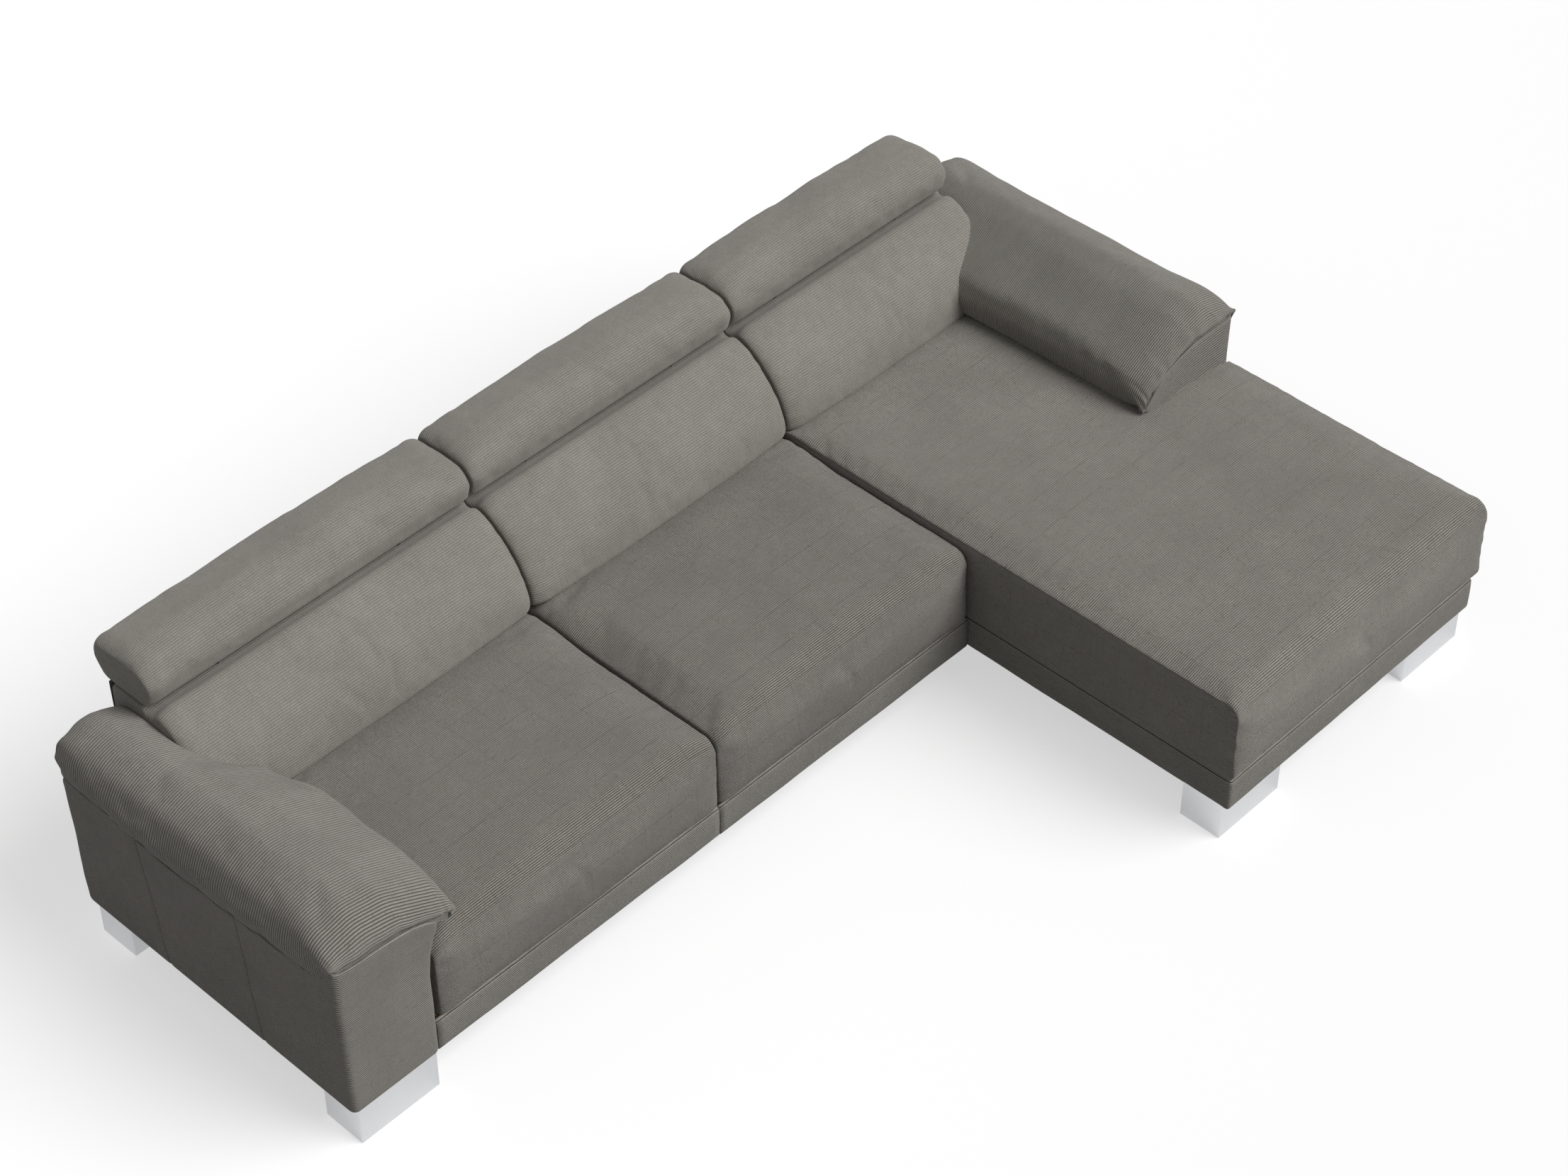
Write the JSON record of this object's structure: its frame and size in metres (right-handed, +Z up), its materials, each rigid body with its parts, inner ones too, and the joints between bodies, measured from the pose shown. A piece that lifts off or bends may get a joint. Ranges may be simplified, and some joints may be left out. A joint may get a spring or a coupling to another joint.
{
  "type": "corner sofa",
  "caption": "L-shaped corduroy corner sofa with a chaise on its right, rolled pillow arms, chrome block feet and headrests that tilt up from the back.",
  "frame": {"origin": "on the floor, at the middle of the sofa's footprint box", "axes": "+X towards the chaise side, to the right for someone who looks at the sofa's front; +Y towards the back; +Z up"},
  "size_m": [2.8456, 1.704, 0.7386],
  "materials": {
    "corduroy": "fine taupe-grey corduroy, ribs about 5.6 mm apart",
    "rear_fabric": "the same corduroy, stretched flat over a board",
    "wood": "sawn softwood and plywood",
    "foam": "open-cell foam",
    "chrome": "polished",
    "steel": "zinc plated",
    "black_plastic": "moulded",
    "dust_cloth": "non-woven cloth",
    "webbing": "woven elastic strap"
  },
  "bodies": {
    "sofa": {"sofa_front_rail": "wood", "sofa_rear_rail": "wood", "sofa_cross_rails": "wood", "chaise_side_rails": "wood", "chaise_cross_rails": "wood", "foot_blocks": "wood", "sofa_springs": "steel", "chaise_springs": "steel", "seat_foam_left": "foam", "seat_foam_middle": "foam", "chaise_foam": "foam", "seat_cushion_left": "corduroy", "seat_cushion_middle": "corduroy", "chaise_cushion": "corduroy", "band_left": "corduroy", "band_middle": "corduroy", "chaise_front_band": "corduroy", "chaise_left_band": "corduroy", "chaise_right_band": "corduroy", "back_posts": "wood", "back_top_rails": "wood", "back_webbing": "webbing", "back_foams": "foam", "back_cushion_left": "corduroy", "back_cushion_middle": "corduroy", "back_cushion_right": "corduroy", "sofa_rear_cover": "rear_fabric", "chaise_rear_cover": "rear_fabric", "left_arm_boards": "wood", "left_arm_cover": "corduroy", "left_arm_front_panel": "corduroy", "left_arm_pillow": "corduroy", "right_arm_boards": "wood", "right_arm_cover": "corduroy", "right_arm_front_panel": "corduroy", "right_arm_pillow": "corduroy", "front_left_foot": "chrome", "rear_left_foot": "chrome", "chaise_left_foot": "chrome", "chaise_right_foot": "chrome", "rear_right_foot": "chrome", "foot_glides": "black_plastic", "foot_bolts": "steel", "support_legs": "black_plastic", "arm_bolts": "steel", "element_hook": "steel", "element_plate": "steel", "dust_covers": "dust_cloth", "hinge_brackets": "steel", "hinge_pins": "steel"},
    "headrest_left": {"headrest_left_cushion": "corduroy", "headrest_left_board": "wood", "headrest_left_arms": "steel"},
    "headrest_middle": {"headrest_middle_cushion": "corduroy", "headrest_middle_board": "wood", "headrest_middle_arms": "steel"},
    "headrest_right": {"headrest_right_cushion": "corduroy", "headrest_right_board": "wood", "headrest_right_arms": "steel"}
  },
  "joints": [
    {"name": "headrest_left_tilt", "type": "hinge", "parent": "sofa", "child": "headrest_left", "pos_m": [-0.786, 0.682, 0.634], "axis": [1, 0, 0], "range_deg": [0, 60]},
    {"name": "headrest_middle_tilt", "type": "hinge", "parent": "sofa", "child": "headrest_middle", "pos_m": [0.0775, 0.682, 0.634], "axis": [1, 0, 0], "range_deg": [0, 60]},
    {"name": "headrest_right_tilt", "type": "hinge", "parent": "sofa", "child": "headrest_right", "pos_m": [0.8635, 0.682, 0.634], "axis": [1, 0, 0], "range_deg": [0, 60]}
  ]
}
